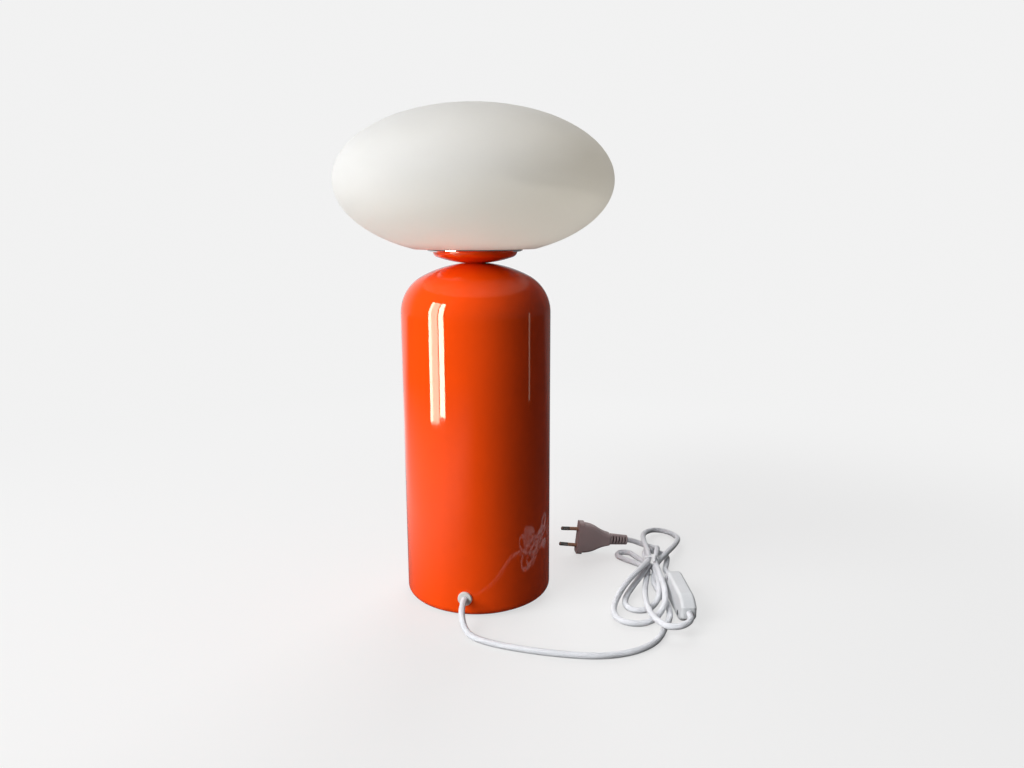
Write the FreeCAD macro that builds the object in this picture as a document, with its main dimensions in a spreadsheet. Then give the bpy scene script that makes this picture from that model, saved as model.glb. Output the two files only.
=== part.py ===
"""Table lamp: a flattened opal glass shade on a tall lacquered steel cylinder.

The textile cord leaves the foot of the body, and its length lies beside the lamp as a tied hank
with an inline rocker switch and a flat two-pin plug.  Millimetres, +Z up, the origin on the floor
under the lamp's axis, the cord's exit towards -Y.
"""
import FreeCAD
import Part
import Sketcher
import math
import os
from FreeCAD import Placement, Rotation, Vector

SIZES = {
    # foot
    "pad_thick": 0.6,
    "pad_inset": 1.5,
    "plate_thick": 1.6,
    "plate_inset": 7.5,
    "ballast_radius": 48.0,
    "ballast_height": 14.0,
    "screw_circle_radius": 30.0,
    "screw_radius": 2.0,
    "screw_head_radius": 3.5,
    "screw_length": 11.0,
    "screw_fit": 0.1,
    # lacquered body
    "body_radius": 69.0,
    "body_wall": 1.4,
    "foot_round": 6.4,
    "foot_lip": 5.6,
    "knuckle_radius": 38.0,
    "crown_radius": 103.8,
    "crown_top": 316.5,
    "crown_seat": 12.3,
    # threaded stem and what it clamps
    "stem_radius": 5.0,
    "stem_bore": 3.6,
    "stem_fit": 0.1,
    "dish_radius": 38.6,
    "dish_height": 10.3,
    "dish_bowl": 106.4,
    "dish_edge": 6.0,
    "dish_foot": 9.0,
    "dish_wall": 1.2,
    "gallery_radius": 43.5,
    "gallery_thick": 1.5,
    "gallery_bevel": 2.4,
    "collar_radius": 38.6,
    "collar_height": 10.0,
    "collar_wall": 1.2,
    "gasket_thick": 0.8,
    "washer_radius": 11.0,
    "washer_thick": 1.2,
    "nut_across": 16.0,
    "nut_thick": 4.5,
    # opal glass
    "shade_radius": 125.0,
    "shade_half_height": 66.0,
    "shade_sink": 59.2,
    "shade_wall": 2.6,
    "shade_play": 0.9,
    # lampholder
    "holder_radius": 19.5,
    "holder_wall": 1.6,
    "holder_cap_height": 11.0,
    "holder_foot": 9.0,
    "holder_length": 40.0,
    "holder_lip": 2.0,
    "core_thick": 6.0,
    "contact_radius": 4.0,
    "contact_thick": 1.2,
    # lamp bulb
    "cap_radius": 13.2,
    "cap_length": 24.0,
    "cap_taper": 4.0,
    "thread_play": 1.0,
    "thread_wall": 0.6,
    "tip_thick": 1.5,
    "tip_gap": 0.3,
    "neck_length": 14.0,
    "neck_radius": 21.0,
    "globe_radius": 22.5,
    # cord and its bushing
    "cord_radius": 2.8,
    "exit_height": 19.6,
    "exit_turn": -10.84,
    "bushing_flange": 6.5,
    "bushing_neck": 4.6,
    "bushing_lip": 2.0,
    "bore_play": 0.1,
    # tied hank
    "hank_step": 6.3,
    "hank_column": 3.25,
    "tie_thick": 1.0,
    "tie_width": 3.6,
    "tie_play": 0.35,
    # inline switch
    "switch_length": 72.0,
    "switch_width": 25.0,
    "switch_thick": 14.0,
    "switch_end": 10.0,
    "switch_straight": 40.0,
    "switch_wall": 1.8,
    "rocker_length": 18.6,
    "rocker_width": 10.4,
    "rocker_tilt": 8.0,
    "rocker_rise": 1.3,
    "rocker_proud": 0.2,
    "rocker_depth": 1.5,
    "rocker_play": 0.5,
    "pivot_depth": 2.8,
    "pivot_radius": 1.0,
    "pivot_play": 0.08,
    "lug_thick": 2.0,
    "lug_half": 2.6,
    "lug_reach": 1.6,
    "chamber_half": 13.0,
    "case_round": 3.0,
    "case_screw_x": 22.0,
    "case_screw_z": 6.2,
    "case_screw_radius": 1.2,
    "case_screw_head": 2.5,
    # two-pin plug
    "plug_width": 35.3,
    "plug_thick": 13.7,
    "plug_flange": 5.5,
    "plug_shoulder": 16.0,
    "plug_waist": 11.4,
    "plug_waist_at": 21.5,
    "plug_length": 36.7,
    "plug_round": 2.8,
    "plug_corner": 3.0,
    "plug_belly": 34.0,
    "plug_hollow": 40.0,
    "relief_radius": 5.5,
    "relief_groove": 4.1,
    "relief_length": 18.5,
    "pin_radius": 2.0,
    "pin_length": 19.0,
    "pin_neck": 1.4,
    "sleeve_length": 10.0,
    "pin_spacing": 18.6,
}
SCREWS = 3
RELIEF_RIBS = 5
LEFT, RIGHT = 1, -1

doc = FreeCAD.newDocument("table_lamp")
nodes = {}


class Size:
    """A length: its value, and the sheet expression that it comes from."""

    def __init__(self, value, text):
        self.value = value
        self.text = text

    def __add__(self, other):
        other = size(other)
        return Size(self.value + other.value, f"({self.text} + {other.text})")

    def __sub__(self, other):
        other = size(other)
        return Size(self.value - other.value, f"({self.text} - {other.text})")

    def __mul__(self, other):
        other = size(other)
        return Size(self.value * other.value, f"({self.text} * {other.text})")

    def __truediv__(self, other):
        other = size(other)
        return Size(self.value / other.value, f"({self.text} / {other.text})")

    def __neg__(self):
        return Size(-self.value, f"(0 - {self.text})")

    __radd__ = __add__
    __rmul__ = __mul__

    def __rsub__(self, other):
        return size(other) - self


def size(length):
    return length if isinstance(length, Size) else Size(float(length), f"{length:.6f}")


def root(length):
    return Size(math.sqrt(length.value), f"sqrt({length.text})")


class Sheet:
    """The spreadsheet of driving sizes; each alias reads as an attribute."""

    def __init__(self):
        cells = doc.addObject("Spreadsheet::Sheet", "Sizes")
        for row, (alias, value) in enumerate(SIZES.items(), start=1):
            cells.set(f"A{row}", alias)
            cells.set(f"B{row}", str(value))
            cells.setAlias(f"B{row}", alias)
            setattr(self, alias, Size(value, f"Sizes.{alias}"))


s = Sheet()
doc.recompute()


def bind(thing, path, length):
    thing.setExpression(path, size(length).text)


def origin_part(body, role):
    return next(part for part in body.Origin.OriginFeatures if part.Role == role)


def new_body(label, place=None):
    body = doc.addObject("PartDesign::Body", label)
    body.AllowCompound = True
    if place is not None:
        body.Placement = place
    return body


def new_sketch(body, plane="XZ_Plane", shift=(0, 0, 0)):
    return on_plane(body.newObject("Sketcher::SketchObject", body.Name + "_sketch"), body, plane, shift)


def arc_between(start, end, radius, turn):
    """The arc under a half circle from start to end that turns left or right."""
    chord = end - start
    rise = math.sqrt(max(radius**2 - chord.Length**2 / 4, 0))
    side = Vector(-chord.y, chord.x, 0).normalize() * turn
    centre = (start + end) / 2 + side * rise
    first, last = (start, end) if turn == LEFT else (end, start)
    angles = [math.atan2(p.y - centre.y, p.x - centre.x) for p in (first, last)]
    return Part.ArcOfCircle(Part.Circle(centre, Vector(0, 0, 1), radius), *angles)


def pin_point(sketch, kind, edge, end, length, axis):
    """Hold one coordinate of a point at a length from the sketch's origin."""
    if abs(length.value) < 1e-9:
        sketch.addConstraint(Sketcher.Constraint("PointOnObject", edge, end, axis))
        return
    ends = (-1, 1, edge, end)
    if length.value < 0:
        ends, length = (edge, end, -1, 1), -length
    index = sketch.addConstraint(Sketcher.Constraint(kind, *ends, length.value))
    bind(sketch, f"Constraints[{index}]", length)


def draw(sketch, corners):
    """A closed outline: a corner is (x, y), or (x, y, radius, turn) where an arc follows it."""
    corners = [(size(c[0]), size(c[1]), *c[2:]) for c in corners]
    followers = corners[1:] + corners[:1]
    edges = []
    for here, after in zip(corners, followers):
        start, end = (Vector(c[0].value, c[1].value, 0) for c in (here, after))
        if len(here) == 2:
            edges.append((sketch.addGeometry(Part.LineSegment(start, end), False), 1, 2))
            continue
        radius, turn = size(here[2]), here[3]
        index = sketch.addGeometry(arc_between(start, end, radius.value, turn), False)
        edges.append((index, 1, 2) if turn == LEFT else (index, 2, 1))
        held = sketch.addConstraint(Sketcher.Constraint("Radius", index, radius.value))
        bind(sketch, f"Constraints[{held}]", radius)
    for before, edge, corner in zip(edges, edges[1:] + edges[:1], followers):
        sketch.addConstraint(Sketcher.Constraint("Coincident", before[0], before[2], edge[0], edge[1]))
        pin_point(sketch, "DistanceX", edge[0], edge[1], corner[0], -2)
        pin_point(sketch, "DistanceY", edge[0], edge[1], corner[1], -1)


def add(body, kind, **settings):
    """A feature at the end of a body; a Size among the settings is bound to the sheet."""
    feature = body.newObject(f"PartDesign::{kind}", f"{body.Name}_{kind.lower()}")
    for name, setting in settings.items():
        if isinstance(setting, Size):
            bind(feature, name, setting)
        else:
            setattr(feature, name, setting)
    body.Tip = feature
    return feature


def revolve(body, corners, shift=(0, 0, 0)):
    sketch = new_sketch(body, shift=shift)
    draw(sketch, corners)
    return add(body, "Revolution", Profile=sketch, ReferenceAxis=(sketch, ["V_Axis"]), Angle=360.0)


def turned(label, corners, place=None):
    """A piece turned about its own Z from an outline of (radius, height) corners."""
    body = new_body(label, place)
    revolve(body, corners)
    nodes[label] = body
    return body


def ring(inner, outer, low, high):
    return [(inner, low), (outer, low), (outer, high), (inner, high)]


def around(body, feature, count):
    axis = (origin_part(body, "Z_Axis"), [""])
    return add(body, "PolarPattern", Originals=[feature], Axis=axis, Angle=360.0, Occurrences=count)


def on_plane(feature, body, plane, at):
    """Set a primitive or a sketch on one of the body's origin planes, shifted along its axes."""
    feature.AttachmentSupport = [(origin_part(body, plane), "")]
    feature.MapMode = "FlatFace"
    for axis, length in zip("xyz", at):
        bind(feature, f"AttachmentOffset.Base.{axis}", length)
    return feature


def drill(body, radius, depth, at, plane="XY_Plane", turn=None):
    """A round hole from a point of an origin plane along the plane's normal."""
    hole = add(body, "SubtractiveCylinder", Radius=size(radius), Height=size(depth))
    if turn is not None:
        hole.AttachmentOffset = Placement(Vector(), Rotation(Vector(0, 1, 0), turn.value))
    return on_plane(hole, body, plane, at)


def pad(body, plane, corners, length, shift=(0, 0, 0), **settings):
    sketch = new_sketch(body, plane, shift)
    draw(sketch, corners)
    return add(body, "Pad", Profile=sketch, Length=size(length), **settings)


def pocket(body, plane, corners, depth, shift=(0, 0, 0), **settings):
    sketch = new_sketch(body, plane, shift)
    draw(sketch, corners)
    return add(body, "Pocket", Profile=sketch, Length=size(depth), **settings)


def box_corners(x0, x1, y0, y1):
    return [(x0, y0), (x1, y0), (x1, y1), (x0, y1)]


# Heights that several pieces share, from the floor up.
plate_low = s.pad_thick
plate_radius = s.body_radius - s.plate_inset
foot_opening = s.body_radius - s.foot_round - s.foot_lip
body_low = plate_low + s.plate_thick
crown_centre = s.crown_top - s.crown_radius
seat_top = crown_centre + root(s.crown_radius * s.crown_radius - s.crown_seat * s.crown_seat)
gallery_low = seat_top + s.dish_height
gallery_top = gallery_low + s.gallery_thick
shade_low = gallery_top + s.gasket_thick
shade_middle = shade_low + s.shade_sink
holder_low = gallery_top + s.washer_thick + s.nut_thick
core_low = holder_low + s.holder_cap_height - s.holder_wall * 2
core_top = core_low + s.core_thick
tip_low = core_top + s.contact_thick + s.tip_gap
cap_low = tip_low + s.tip_thick
cap_top = cap_low + s.cap_length
stem_hole = s.stem_radius + s.stem_fit



def groove(body, corners, shift=(0, 0, 0)):
    sketch = new_sketch(body, shift=shift)
    draw(sketch, corners)
    return add(body, "Groove", Profile=sketch, ReferenceAxis=(sketch, ["V_Axis"]), Angle=360.0)


def screw_outline(gap):
    """A countersunk screw from below, flush with the plate's underside."""
    head, shank = s.screw_head_radius + gap, s.screw_radius + gap
    cone_top = plate_low + s.screw_head_radius - s.screw_radius
    top = plate_low + s.screw_length + gap
    return [(0, plate_low), (head, plate_low), (shank, cone_top), (shank, top), (0, top)]


def make_foot():
    turned("foot_pad", ring(0, plate_radius - s.pad_inset, 0, s.pad_thick))
    plate = turned("base_plate", ring(0, plate_radius, plate_low, body_low))
    around(plate, groove(plate, screw_outline(s.screw_fit), (s.screw_circle_radius, 0, 0)), SCREWS)
    top = body_low + s.ballast_height
    ballast = turned("ballast_weight", [
        (stem_hole, body_low), (s.ballast_radius, body_low), (s.ballast_radius, top - 2, 2, LEFT),
        (s.ballast_radius - 2, top), (stem_hole, top)])
    around(ballast, groove(ballast, screw_outline(s.screw_fit), (s.screw_circle_radius, 0, 0)), SCREWS)
    screws = new_body("base_screws")
    around(screws, revolve(screws, screw_outline(0), (s.screw_circle_radius, 0, 0)), SCREWS)
    nodes["base_screws"] = screws


def make_body_shell():
    """One spun shell: turned-in foot, straight side, knuckle and crown, all with the same wall."""
    radius, wall = s.body_radius, s.body_wall
    knuckle_in = radius - s.knuckle_radius
    centres = s.crown_radius - s.knuckle_radius
    knuckle_up = root(centres * centres - knuckle_in * knuckle_in)
    side_top = crown_centre + knuckle_up

    def join(crown):
        return knuckle_in * crown / centres, crown_centre + knuckle_up * crown / centres

    inner_crown = s.crown_radius - wall
    inner_top = seat_top - wall
    inner_up = inner_top - crown_centre
    inner_seat = root(inner_crown * inner_crown - inner_up * inner_up)
    side_low = body_low + s.foot_round
    shell = turned("body_shell", [
        (foot_opening, body_low), (radius - s.foot_round, body_low, s.foot_round, LEFT),
        (radius, side_low), (radius, side_top, s.knuckle_radius, LEFT),
        (*join(s.crown_radius), s.crown_radius, LEFT), (s.crown_seat, seat_top),
        (stem_hole, seat_top), (stem_hole, inner_top), (inner_seat, inner_top, inner_crown, RIGHT),
        (*join(inner_crown), s.knuckle_radius - wall, RIGHT), (radius - wall, side_top),
        (radius - wall, side_low, s.foot_round - wall, RIGHT),
        (radius - s.foot_round, body_low + wall), (foot_opening, body_low + wall)])
    drill(shell, s.bushing_neck + s.bore_play, radius + wall, (0, s.exit_height, 0), "XZ_Plane", s.exit_turn)


def make_bushing():
    back = -(s.body_wall + 0.5)
    bore = s.cord_radius + s.bore_play
    turned("cord_bushing", [
        (bore, back - 1.6), (s.bushing_neck + 1, back - 1.6), (s.bushing_neck + 1, back),
        (s.bushing_neck, back), (s.bushing_neck, 0), (s.bushing_flange, 0),
        (s.bushing_flange, s.bushing_lip - 1, 1, LEFT), (s.bushing_flange - 1, s.bushing_lip),
        (bore, s.bushing_lip)],
        Placement(exit_point(0), Rotation(Vector(0, 0, 1), outward)))


def make_neck():
    """The bowl, the chrome gallery with its collar, and what clamps them on the stem."""
    bowl, edge, wall = s.dish_bowl, s.dish_edge, s.dish_wall
    edge_in = s.dish_radius - edge
    bowl_middle = seat_top + root(bowl * bowl - s.dish_foot * s.dish_foot)
    centres = bowl - edge
    drop = root(centres * centres - edge_in * edge_in)
    below = bowl_middle - drop - gallery_low

    def join(radius):
        return edge_in * radius / centres, bowl_middle - drop * radius / centres

    def rim(radius):
        return edge_in + root(radius * radius - below * below)

    inner_up = bowl_middle - seat_top - wall
    inner_foot = root((bowl - wall) * (bowl - wall) - inner_up * inner_up)
    turned("neck_dish", [
        (stem_hole, seat_top), (s.dish_foot, seat_top, bowl, LEFT), (*join(bowl), edge, LEFT),
        (rim(edge), gallery_low), (rim(edge - wall), gallery_low, edge - wall, RIGHT),
        (*join(bowl - wall), bowl - wall, RIGHT), (inner_foot, seat_top + wall),
        (stem_hole, seat_top + wall)])
    collar_in, collar_top = s.collar_radius - s.collar_wall, gallery_top + s.collar_height
    turned("gallery", [
        (stem_hole, gallery_low), (s.gallery_radius - s.gallery_bevel, gallery_low),
        (s.gallery_radius, gallery_top - 0.4), (s.gallery_radius, gallery_top),
        (s.collar_radius, gallery_top), (s.collar_radius, collar_top), (collar_in, collar_top),
        (collar_in, gallery_top), (stem_hole, gallery_top)])
    turned("shade_gasket", ring(s.collar_radius + 0.1, s.gallery_radius - 0.6, gallery_top, shade_low))
    turned("stem_washer", ring(stem_hole, s.washer_radius, gallery_top, gallery_top + s.washer_thick))
    turned("stem_tube", ring(s.stem_bore, s.stem_radius, body_low + 3, holder_low + s.holder_foot / 2))
    blank = doc.addObject("Part::Prism", "nut_blank")
    blank.Polygon = 6
    bind(blank, "Circumradius", s.nut_across / math.sqrt(3))
    bore = doc.addObject("Part::Cylinder", "nut_bore")
    bind(bore, "Radius", stem_hole)
    for solid in (blank, bore):
        bind(solid, "Height", s.nut_thick)
        bind(solid, "Placement.Base.z", gallery_top + s.washer_thick)
    nodes["stem_nut"] = doc.addObject("Part::Cut", "stem_nut")
    nodes["stem_nut"].Base = blank
    nodes["stem_nut"].Tool = bore


def make_shade():
    """Flattened glass: one ellipsoid inside another, cut flat at the foot and opened for the collar."""
    body = new_body("glass_shade")
    outer = (s.shade_half_height, s.shade_radius, s.shade_sink)
    inner = tuple(length - s.shade_wall for length in outer)
    for kind, (upright_radius, level_radius, foot) in (("Additive", outer), ("Subtractive", inner)):
        shell = add(
            body, f"{kind}Ellipsoid", Radius1=upright_radius, Radius2=level_radius, Radius3=level_radius)
        shell.setExpression("Angle1", f"-asin({(foot / upright_radius).text})")
        on_plane(shell, body, "XY_Plane", (0, 0, shade_middle))
    drill(body, s.collar_radius + s.shade_play, s.shade_sink, (0, 0, shade_low))
    nodes["glass_shade"] = body


def make_holder():
    radius, wall = s.holder_radius, s.holder_wall
    inner = radius - wall
    rim = holder_low + s.holder_cap_height
    turned("holder_cap", [
        (stem_hole, holder_low), (s.holder_foot, holder_low), (radius, core_low - wall), (radius, rim),
        (inner, rim), (inner, core_low), (inner - wall, core_low), (inner - wall, core_low - wall),
        (s.holder_foot - 1, holder_low + wall), (stem_hole, holder_low + wall)])
    turned("holder_core", ring(0, inner - s.bore_play, core_low, core_top))
    top = holder_low + s.holder_length
    thread = s.cap_radius + s.thread_play
    lip = thread + s.thread_wall + s.bore_play
    turned("holder_skirt", [
        (inner, rim), (radius, rim), (radius, top - 1.5, 1.5, LEFT), (radius - 1.5, top),
        (lip, top), (lip, top - s.holder_lip), (inner, top - s.holder_lip)])
    turned("holder_thread", ring(thread, thread + s.thread_wall, core_top, top - 1))
    turned("centre_contact", ring(0, s.contact_radius, core_top, core_top + s.contact_thick))


def make_bulb():
    tip = s.contact_radius
    turned("bulb_contact", [
        (0, tip_low), (tip - 1, tip_low, 1, LEFT), (tip, tip_low + 1), (tip, cap_low), (0, cap_low)])
    turned("bulb_cap", [
        (0, cap_low), (tip + 2, cap_low), (s.cap_radius, cap_low + s.cap_taper), (s.cap_radius, cap_top),
        (0, cap_top)])
    neck_top = cap_top + s.neck_length
    turned("bulb_neck", [
        (0, cap_top), (s.cap_radius + 0.6, cap_top), (s.neck_radius, neck_top - 2), (s.neck_radius, neck_top),
        (0, neck_top)])
    globe = s.globe_radius
    middle = neck_top + root(globe * globe - s.neck_radius * s.neck_radius)
    turned("bulb_globe", [
        (0, neck_top), (s.neck_radius, neck_top, globe, LEFT), (globe, middle, globe, LEFT),
        (0, middle + globe)])


# The cord's exit, and the frame of the tied hank: X across the strands, Y along them.
outward = Vector(math.sin(math.radians(s.exit_turn.value)), -math.cos(math.radians(s.exit_turn.value)), 0)
HANK = Placement(Vector(175, 14, 0), Rotation(Vector(0, 0, 1), -17.3))


def exit_point(proud):
    return outward * (s.body_radius.value + proud) + Vector(0, 0, s.exit_height.value)


def in_hank(along, across, height):
    return HANK.multVec(Vector(across, along, height))


LIE = s.cord_radius.value
LIFT = s.tie_thick.value + s.tie_play.value
COLUMN = s.hank_column.value
LEVELS = [LIE + 0.1 + layer * s.hank_step.value for layer in range(3)]
SWITCH_MIDDLE = in_hank(-64.6, 31.1, s.switch_width.value / 2)
SWITCH_ALONG = (in_hank(58, -16.6, 0) - in_hank(0, 0, 0)).normalize()
SWITCH_ENDS = [SWITCH_MIDDLE + SWITCH_ALONG * (side * s.switch_length.value / 2) for side in (-1, 1)]
PLUG_FACE = Vector(107, 75.5, 18.5)
PLUG_ALONG = Vector(54.6, 4.4, -6.3).normalize()
PLUG_TAIL = PLUG_FACE + PLUG_ALONG * (s.plug_length.value + s.relief_length.value)


def upright(along):
    """The turn that takes X along a direction and keeps Z as near to upright as it can be."""
    return Rotation(along, Vector(0, 0, 1).cross(along), Vector(0, 0, 1), "XZY")


def tube(label, edges):
    """A round tube along joined lines and arcs; its volume is compared with section times length."""
    path = Part.Wire(edges)
    first = edges[0]
    circle = Part.Circle(first.valueAt(first.FirstParameter), first.tangentAt(first.FirstParameter), LIE)
    sweep = Part.BRepOffsetAPI.MakePipeShell(path)
    sweep.add(Part.Wire(circle.toShape()))
    sweep.build()
    sweep.makeSolid()
    cord = doc.addObject("Part::Feature", label)
    cord.Shape = sweep.shape()
    ratio = cord.Shape.Volume / (math.pi * LIE**2 * path.Length)
    print(f"{label}: {path.Length:.0f} mm long, volume {ratio:.4f} of section times length")
    nodes[label] = cord
    return path


def routed(points):
    """Straight runs through hand-chosen points, with each corner rounded as far as its runs allow."""
    edges, radii, start = [], [], points[0]
    for before, here, after in zip(points, points[1:], points[2:]):
        back, on = before - here, after - here
        reach = 0.45 * min(back.Length, on.Length)
        half_turn = (math.pi - back.getAngle(on)) / 2
        radius = reach / math.tan(half_turn)
        radii.append(radius)
        back, on = back.normalize(), on.normalize()
        first, last = here + back * reach, here + on * reach
        inward = (back + on).normalize()
        middle = here + inward * (radius / math.cos(half_turn) - radius)
        edges += [Part.LineSegment(start, first).toShape(), Part.Arc(first, middle, last).toShape()]
        start = last
    edges.append(Part.LineSegment(start, points[-1]).toShape())
    print("  bend radii", " ".join(f"{radius:.0f}" for radius in radii))
    return edges


def smooth(start, end, at):
    share = min(max((at - start) / (end - start), 0), 1)
    return share * share * (3 - 2 * share)


def lobe(side, enter, leave, reach, width, lean, climb, last=180, steps=12, belly=0):
    """One bight of the hank, from the tie out and back: stations of a point and a direction.

    side is +1 behind the tie and -1 in front of it; the strand enters and leaves at those places
    across the tie, swings out to reach, width either way, and leans to one side at its tip and by
    its belly halfway.  climb gives (degrees, height) pairs.
    """
    def place(degrees):
        turn = math.radians(degrees)
        sine, cosine = math.sin(turn), math.cos(turn)
        across = enter * (1 + cosine) / 2 + leave * (1 - cosine) / 2
        across += side * 3.079 * width * sine**3 * cosine + lean * sine**4 + 4 * belly * (sine * cosine)**2
        height = climb[0][1] + LIFT * cosine**2
        for (low, start), (high, end) in zip(climb, climb[1:]):
            height += (end - start) * smooth(low, high, degrees)
        return in_hank(side * reach * sine**2, across, height)

    stations = []
    for step in range(steps + 1):
        degrees = last * step / steps
        heading = place(degrees + 0.5) - place(degrees - 0.5)
        if degrees in (0, 180):
            heading = in_hank(side if degrees == 0 else -side, 0, 0) - in_hank(0, 0, 0)
        stations.append((place(degrees), heading.normalize()))
    return stations


def station(along, across, height, degrees):
    """A point of the hank and the level direction there, turned from the way behind the tie."""
    turn = math.radians(degrees)
    return in_hank(along, across, height), in_hank(math.cos(turn), math.sin(turn), 0) - in_hank(0, 0, 0)


def biarc(one, two):
    """Two arcs, tangent to each other, that join two stations."""
    (start, away), (end, arrive) = one, two
    chord = end - start
    both = away + arrive
    closing = 2 * (1 - away.dot(arrive))
    along = chord.dot(both)
    if closing < 1e-9:
        reach = chord.dot(chord) / (4 * chord.dot(arrive))
    else:
        reach = (math.sqrt(along**2 + closing * chord.dot(chord)) - along) / closing
    middle = (start + end + (away - arrive) * reach) / 2
    return [arc_along(start, middle, away), arc_along(middle, end, (end - middle) * 2 - arrive * reach * 2)]


def arc_along(start, end, away):
    """An arc from start to end that leaves start in a given direction, or a straight line."""
    chord, away = end - start, Vector(away).normalize()
    across = chord - away * chord.dot(away)
    if across.Length < 1e-4 * chord.Length:
        return Part.LineSegment(start, end).toShape()
    radius = chord.dot(chord) / (2 * across.Length)
    centre = start + across.normalize() * radius
    middle = centre + ((start + end) / 2 - centre).normalize() * radius
    return Part.Arc(start, middle, end).toShape()


def wound(before, stations, after):
    """Stations joined by biarcs, between a straight start and a straight end."""
    edges = [Part.LineSegment(before, stations[0][0]).toShape()]
    for one, two in zip(stations, stations[1:]):
        edges += biarc(one, two)
    edges.append(Part.LineSegment(stations[-1][0], after).toShape())
    return edges


def make_cord():
    """The lead over the floor, the hank before and after the switch, and the tail to the plug."""
    low, middle, high = LEVELS
    start, end = (in_hank(along, COLUMN, height + LIFT) for along, height in ((-8, low), (8, high)))
    lead = [exit_point(s.bushing_lip.value), exit_point(s.bushing_lip.value + 10)]
    lead += [Vector(*point) for point in (
        (-16.0, -89.0, 14.6), (-14.0, -97.0, 7.6), (-8.5, -105.0, LIE + 0.4), (3.0, -114.0, LIE),
        (19.0, -122.5, LIE), (44.0, -132.0, LIE), (74.0, -140.0, LIE), (100.0, -143.5, LIE),
        (125.0, -139.0, LIE), (145.0, -127.0, LIE), (156.0, -112.0, LIE))]
    lead += [in_hank(*point) for point in (
        (-110.0, 21.0, LIE), (-94.0, 24.3, LIE), (-75.0, 22.8, LIE), (-55.0, 16.5, LIE),
        (-38.0, 9.0, LIE), (-22.0, COLUMN, low + LIFT))]
    lead.append(start)
    tail = [end] + [in_hank(*point) for point in (
        (22.0, COLUMN, high + LIFT), (34.0, 2.8, 16.2), (46.0, 1.8, 11.4), (59.5, -3.6, 5.8))]
    tail += [PLUG_TAIL + PLUG_ALONG * 15 - Vector(0, 0, 3.2), PLUG_TAIL + PLUG_ALONG * 6, PLUG_TAIL]

    front, back = SWITCH_ENDS
    straight = SWITCH_ALONG * (2 * LIE)
    feed = [station(*place) for place in (
        (0, COLUMN, low + LIFT, 0), (15, -1.2, low + 0.5, -34), (44.6, -25.9, low, -42),
        (45.1, -34.6, low, -132), (36.4, -35.1, low, 138), (22, -19.5, low, 127),
        (9, -6, low + 0.8, 142), (0, -COLUMN, low + LIFT, 180))]
    rise = [(0, low), (26, low), (62, middle), (90, middle)]
    feed += lobe(-1, -COLUMN, 0, 118, 4, 18, rise, last=75, steps=5)[1:]
    feed += [station(-121.5, 28.5, middle + 1, 90), (front - straight, SWITCH_ALONG)]
    loops = [(back + straight, SWITCH_ALONG)]
    loops += lobe(1, 12, -COLUMN, 45, 11.5, 2, [(0, low), (90, low), (118, middle), (180, middle)])
    loops += lobe(-1, -COLUMN, COLUMN, 87, 14.2, -6.5,
                  [(0, middle), (20, middle), (60, low), (104, low), (136, middle), (180, middle)])[1:]
    loops += lobe(1, COLUMN, -COLUMN, 116, 18.5, 3,
                  [(0, middle), (18, middle), (34, middle + 1.2), (48, middle + 1.2), (80, low), (95, low),
                   (119, middle + 1.2), (130, middle + 3.6), (152, high), (180, high)], belly=2)[1:]
    loops += lobe(-1, -COLUMN, COLUMN, 113, 22, -8,
                  [(0, high), (36, high), (66, low), (106, low), (123, middle), (143, high), (180, high)])[1:]
    paths = [
        tube("cord_lead", routed(lead)), tube("hank_feed", wound(start, feed, front)),
        tube("hank_loops", wound(back, loops, end)), tube("cord_tail", routed(tail))]
    print(f"cord: {sum(path.Length for path in paths):.0f} mm, least gap {least_gap(paths):.2f} mm")


def least_gap(paths, spacing=1.5, apart=24):
    """The smallest clear distance between strands that are not neighbours along the cord."""
    points, along, travelled = [], [], 0
    for path in paths:
        count = int(path.Length / spacing)
        points += path.discretize(Number=count)
        along += [travelled + path.Length * step / (count - 1) for step in range(count)]
        travelled += path.Length
    return min(
        one.distanceToPoint(two)
        for here, one in enumerate(points) for there, two in enumerate(points[:here])
        if along[here] - along[there] > apart) - 2 * LIE


def make_tie():
    """A flat band round the six strands at the waist."""
    half = s.hank_column + s.cord_radius + s.tie_play
    high = s.hank_step * 2 + s.cord_radius * 2 + s.tie_play * 2 + s.tie_thick
    body = new_body("hank_tie", HANK)
    shift = (0, 0, -s.tie_width / 2)

    def rounded(grow, low, top, corner):
        side, flat = half + grow, half + grow - corner
        return [
            (-flat, low), (flat, low, corner, LEFT), (side, low + corner), (side, top - corner, corner, LEFT),
            (flat, top), (-flat, top, corner, LEFT), (-side, top - corner),
            (-side, low + corner, corner, LEFT)]

    corner = s.cord_radius
    outside = rounded(s.tie_thick, size(0), high + s.tie_thick, corner + s.tie_thick)
    pad(body, "XZ_Plane", outside, s.tie_width, shift)
    pocket(body, "XZ_Plane", rounded(size(0), s.tie_thick, high, corner), s.tie_width, shift, Reversed=True)
    nodes["hank_tie"] = body


def rounded_off(body, feature, radius, depth):
    """Round the edges of the flat faces that lie at a depth along the body's Y."""
    doc.recompute()
    edges = [f"Edge{number}" for number, edge in enumerate(feature.Shape.Edges, start=1)
             if all(abs(abs(vertex.Y) - depth) < 1e-6 for vertex in edge.Vertexes)]
    return add(body, "Fillet", Base=(feature, edges), Radius=size(radius))


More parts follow.
